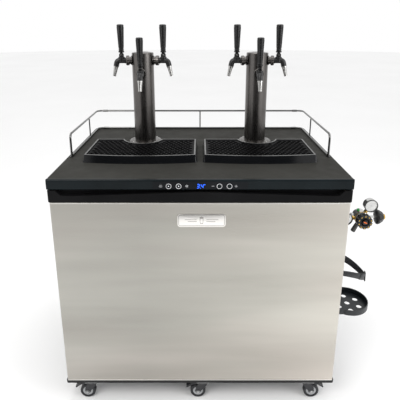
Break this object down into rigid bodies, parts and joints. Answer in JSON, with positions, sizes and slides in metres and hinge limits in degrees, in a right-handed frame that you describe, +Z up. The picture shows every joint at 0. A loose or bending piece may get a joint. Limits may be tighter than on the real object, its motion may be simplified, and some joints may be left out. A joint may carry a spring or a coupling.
{
  "type": "kegerator",
  "caption": "Insulated beer cabinet on casters with a steel door, worktop, tap towers with levers, drip trays, guard rail and a side bracket for a gas bottle.",
  "frame": {"origin": "floor under the middle of the whole footprint, bottle bracket included", "axes": "+Z up, the door faces -Y, +X to the right as seen from the front"},
  "size_m": [1.176, 0.708, 1.379],
  "materials": {
    "door_steel": "satin brushed",
    "cabinet_paint": "satin black coating",
    "bracket_paint": "satin black coating",
    "foam": "rigid insulation foam",
    "liner_white": "semi gloss white",
    "base_plastic": "matte moulded black",
    "gloss_black": "glossy moulded black",
    "worktop_grey": "fine matte dark grey",
    "window_smoke": "glossy smoke panel",
    "button_black": "glossy with a pale ring",
    "rail_chrome": "polished tube",
    "gunmetal": "dark metallic, satin",
    "tap_black": "satin black",
    "handle_black": "satin black handle",
    "steel": "turned stainless steel",
    "zinc": "zinc plated",
    "aluminium_fins": "mill finish",
    "compressor_black": "gloss black enamel",
    "seal_rubber": "soft matte",
    "caster_black": "gloss black coating",
    "wheel_rubber": "grey black tread",
    "webbing": "woven black webbing",
    "regulator_chrome": "nickel plated",
    "gauge_white": "white dial",
    "badge_metal": "satin plate",
    "grille_black": "satin black"
  },
  "bodies": {
    "cabinet": {"base_plate": "base_plastic", "bottle_bracket": "bracket_paint", "bracket_strap": "webbing", "cabinet_foam": "foam", "cabinet_hinges": "zinc", "cabinet_shell": "cabinet_paint", "caster_plates": "caster_black", "compressor": "compressor_black", "condenser_coil": "aluminium_fins", "control_fascia": "gloss_black", "disconnect_rack": "steel", "disconnects": "tap_black", "display_window": "window_smoke", "evaporator_housing": "liner_white", "faucet_bodies": "tap_black", "faucet_spouts": "steel", "guard_rail_tubes": "rail_chrome", "inner_liner": "liner_white", "rail_fittings": "rail_chrome", "rear_caster_frames": "caster_black", "rear_cover": "cabinet_paint", "regulator_body": "regulator_chrome", "regulator_gauges": "gauge_white", "shanks": "gunmetal", "tap_pins": "steel", "top_deck": "worktop_grey", "tower_caps": "gunmetal", "tower_column_left": "gunmetal", "tower_column_right": "gunmetal", "tower_flanges": "gunmetal"},
    "door": {"door_skin": "door_steel", "door_foam": "foam", "door_trim": "gloss_black", "door_liner": "liner_white", "door_gasket": "seal_rubber", "door_badge": "badge_metal"},
    "fan": {"fan_rotor": "tap_black"},
    "regulator_knob": {"regulator_knob": "tap_black"},
    "drip_tray_left": {"drip_tray_left": "gloss_black"},
    "drip_tray_right": {"drip_tray_right": "gloss_black"},
    "drip_grille_left": {"drip_grille_left": "grille_black"},
    "drip_grille_right": {"drip_grille_right": "grille_black"},
    "button_light": {"button_light": "button_black"},
    "button_set": {"button_set": "button_black"},
    "button_down": {"button_down": "button_black"},
    "button_up": {"button_up": "button_black"},
    "tap_left_left": {"tap_handle_left_left": "handle_black"},
    "tap_left_middle": {"tap_handle_left_middle": "handle_black"},
    "tap_left_right": {"tap_handle_left_right": "handle_black"},
    "tap_right_left": {"tap_handle_right_left": "handle_black"},
    "tap_right_middle": {"tap_handle_right_middle": "handle_black"},
    "tap_right_right": {"tap_handle_right_right": "handle_black"},
    "caster_front_left": {"caster_fork_front_left": "caster_black"},
    "caster_front_middle": {"caster_fork_front_middle": "caster_black"},
    "caster_front_right": {"caster_fork_front_right": "caster_black"},
    "wheel_front_left": {"caster_wheel_front_left": "wheel_rubber"},
    "wheel_front_middle": {"caster_wheel_front_middle": "wheel_rubber"},
    "wheel_front_right": {"caster_wheel_front_right": "wheel_rubber"},
    "wheel_rear_left": {"caster_wheel_rear_left": "wheel_rubber"},
    "wheel_rear_right": {"caster_wheel_rear_right": "wheel_rubber"}
  },
  "joints": [
    {"name": "door_hinge", "type": "hinge", "parent": "cabinet", "child": "door", "pos_m": [-0.57, -0.321, 0.48], "axis": [0, 0, -1], "range_deg": [0, 105]},
    {"name": "tap_lever_left_left", "type": "hinge", "parent": "cabinet", "child": "tap_left_left", "pos_m": [-0.40553, 0.11311, 1.259], "axis": [0.1045, -0.9945, 0], "range_deg": [0, 40]},
    {"name": "tap_lever_left_middle", "type": "hinge", "parent": "cabinet", "child": "tap_left_middle", "pos_m": [-0.321, 0.037, 1.211], "axis": [1, 0, 0], "range_deg": [0, 40]},
    {"name": "tap_lever_left_right", "type": "hinge", "parent": "cabinet", "child": "tap_left_right", "pos_m": [-0.23647, 0.11311, 1.259], "axis": [0.1045, 0.9945, 0], "range_deg": [0, 40]},
    {"name": "tap_lever_right_left", "type": "hinge", "parent": "cabinet", "child": "tap_right_left", "pos_m": [0.06047, 0.11311, 1.259], "axis": [0.1045, -0.9945, 0], "range_deg": [0, 40]},
    {"name": "tap_lever_right_middle", "type": "hinge", "parent": "cabinet", "child": "tap_right_middle", "pos_m": [0.145, 0.037, 1.211], "axis": [1, 0, 0], "range_deg": [0, 40]},
    {"name": "tap_lever_right_right", "type": "hinge", "parent": "cabinet", "child": "tap_right_right", "pos_m": [0.22953, 0.11311, 1.259], "axis": [0.1045, 0.9945, 0], "range_deg": [0, 40]},
    {"name": "tray_lift_left", "type": "slide", "parent": "cabinet", "child": "drip_tray_left", "axis": [0, 0, 1], "range_m": [0, 0.04]},
    {"name": "grille_lift_left", "type": "slide", "parent": "drip_tray_left", "child": "drip_grille_left", "axis": [0, 0, 1], "range_m": [0, 0.03]},
    {"name": "tray_lift_right", "type": "slide", "parent": "cabinet", "child": "drip_tray_right", "axis": [0, 0, 1], "range_m": [0, 0.04]},
    {"name": "grille_lift_right", "type": "slide", "parent": "drip_tray_right", "child": "drip_grille_right", "axis": [0, 0, 1], "range_m": [0, 0.03]},
    {"name": "button_light_press", "type": "slide", "parent": "cabinet", "child": "button_light", "axis": [0, 1, 0], "range_m": [0, 0.0008], "stiffness_N_per_m": 900},
    {"name": "button_set_press", "type": "slide", "parent": "cabinet", "child": "button_set", "axis": [0, 1, 0], "range_m": [0, 0.0008], "stiffness_N_per_m": 900},
    {"name": "button_down_press", "type": "slide", "parent": "cabinet", "child": "button_down", "axis": [0, 1, 0], "range_m": [0, 0.0008], "stiffness_N_per_m": 900},
    {"name": "button_up_press", "type": "slide", "parent": "cabinet", "child": "button_up", "axis": [0, 1, 0], "range_m": [0, 0.0008], "stiffness_N_per_m": 900},
    {"name": "swivel_front_left", "type": "hinge", "parent": "cabinet", "child": "caster_front_left", "pos_m": [-0.495, -0.323, 0.07], "axis": [0, 0, 1], "continuous": true},
    {"name": "roll_front_left", "type": "hinge", "parent": "caster_front_left", "child": "wheel_front_left", "pos_m": [-0.517, -0.323, 0.029], "axis": [0, 1, 0], "continuous": true},
    {"name": "swivel_front_middle", "type": "hinge", "parent": "cabinet", "child": "caster_front_middle", "pos_m": [-0.074, -0.323, 0.07], "axis": [0, 0, 1], "continuous": true},
    {"name": "roll_front_middle", "type": "hinge", "parent": "caster_front_middle", "child": "wheel_front_middle", "pos_m": [-0.096, -0.323, 0.029], "axis": [0, 1, 0], "continuous": true},
    {"name": "swivel_front_right", "type": "hinge", "parent": "cabinet", "child": "caster_front_right", "pos_m": [0.315, -0.323, 0.07], "axis": [0, 0, 1], "continuous": true},
    {"name": "roll_front_right", "type": "hinge", "parent": "caster_front_right", "child": "wheel_front_right", "pos_m": [0.337, -0.323, 0.029], "axis": [0, 1, 0], "continuous": true},
    {"name": "roll_rear_left", "type": "hinge", "parent": "cabinet", "child": "wheel_rear_left", "pos_m": [-0.493, 0.297, 0.029], "axis": [1, 0, 0], "continuous": true},
    {"name": "roll_rear_right", "type": "hinge", "parent": "cabinet", "child": "wheel_rear_right", "pos_m": [0.317, 0.297, 0.029], "axis": [1, 0, 0], "continuous": true},
    {"name": "fan_spin", "type": "hinge", "parent": "cabinet", "child": "fan", "pos_m": [-0.088, 0.2668, 0.64], "axis": [0, -1, 0], "continuous": true},
    {"name": "regulator_turn", "type": "hinge", "parent": "cabinet", "child": "regulator_knob", "pos_m": [0.5, -0.247, 0.7], "axis": [0, -1, 0], "range_deg": [0, 720]}
  ]
}
